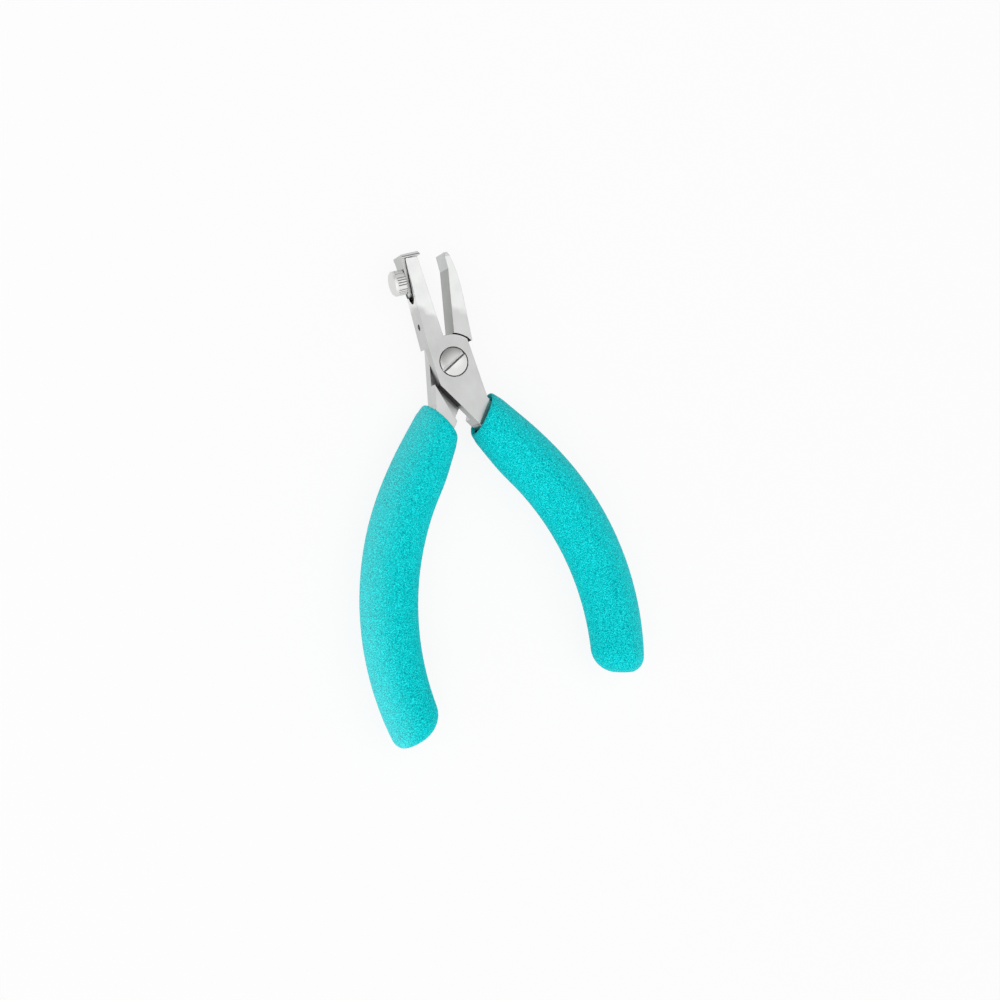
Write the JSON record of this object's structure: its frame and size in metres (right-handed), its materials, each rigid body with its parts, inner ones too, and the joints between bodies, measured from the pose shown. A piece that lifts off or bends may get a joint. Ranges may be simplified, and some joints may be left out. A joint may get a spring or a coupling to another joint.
{
  "type": "bend and trim pliers",
  "caption": "Sprung flat jaw pliers with a lap joint, foam sleeved handles and an adjustable hook blade that a knurled thumb screw clamps, for bending and trimming component leads.",
  "frame": {"origin": "on the pivot axis, at the flat back face of the joint", "axes": "+Y along the centre line from the pivot to the jaw tips, +Z along the pivot axis to the slotted head, +X to the right jaw"},
  "size_m": [0.0729, 0.1197, 0.0136],
  "materials": {
    "satin_steel": "fine satin ground steel",
    "screw_steel": "turned and lightly brushed steel",
    "blade_steel": "ground tool steel with brighter edges",
    "spring_steel": "dark oiled steel",
    "foam": "matte closed-cell foam with fine pores"
  },
  "bodies": {
    "rear": {"rear_lever": "satin_steel", "pivot_screw": "screw_steel", "return_spring": "spring_steel", "left_sleeve": "foam"},
    "front": {"front_lever": "satin_steel", "right_sleeve": "foam", "stop_screw": "spring_steel"},
    "hook": {"hook_blade": "blade_steel"},
    "thumb": {"thumb_screw": "screw_steel"}
  },
  "joints": [
    {"name": "pivot", "type": "hinge", "parent": "rear", "child": "front", "pos_m": [0, 0, 0.0035], "axis": [0, 0, 1], "range_deg": [-14.4, 3], "stiffness_Nm_per_rad": 0.3},
    {"name": "blade_slide", "type": "slide", "parent": "front", "child": "hook", "axis": [-0.0628, 0.998, 0], "range_m": [0, 0.0012]},
    {"name": "thumb_turn", "type": "hinge", "parent": "front", "child": "thumb", "pos_m": [-0.00678, 0.022, 0.0035], "axis": [-0.998, -0.0628, 0], "continuous": true}
  ]
}
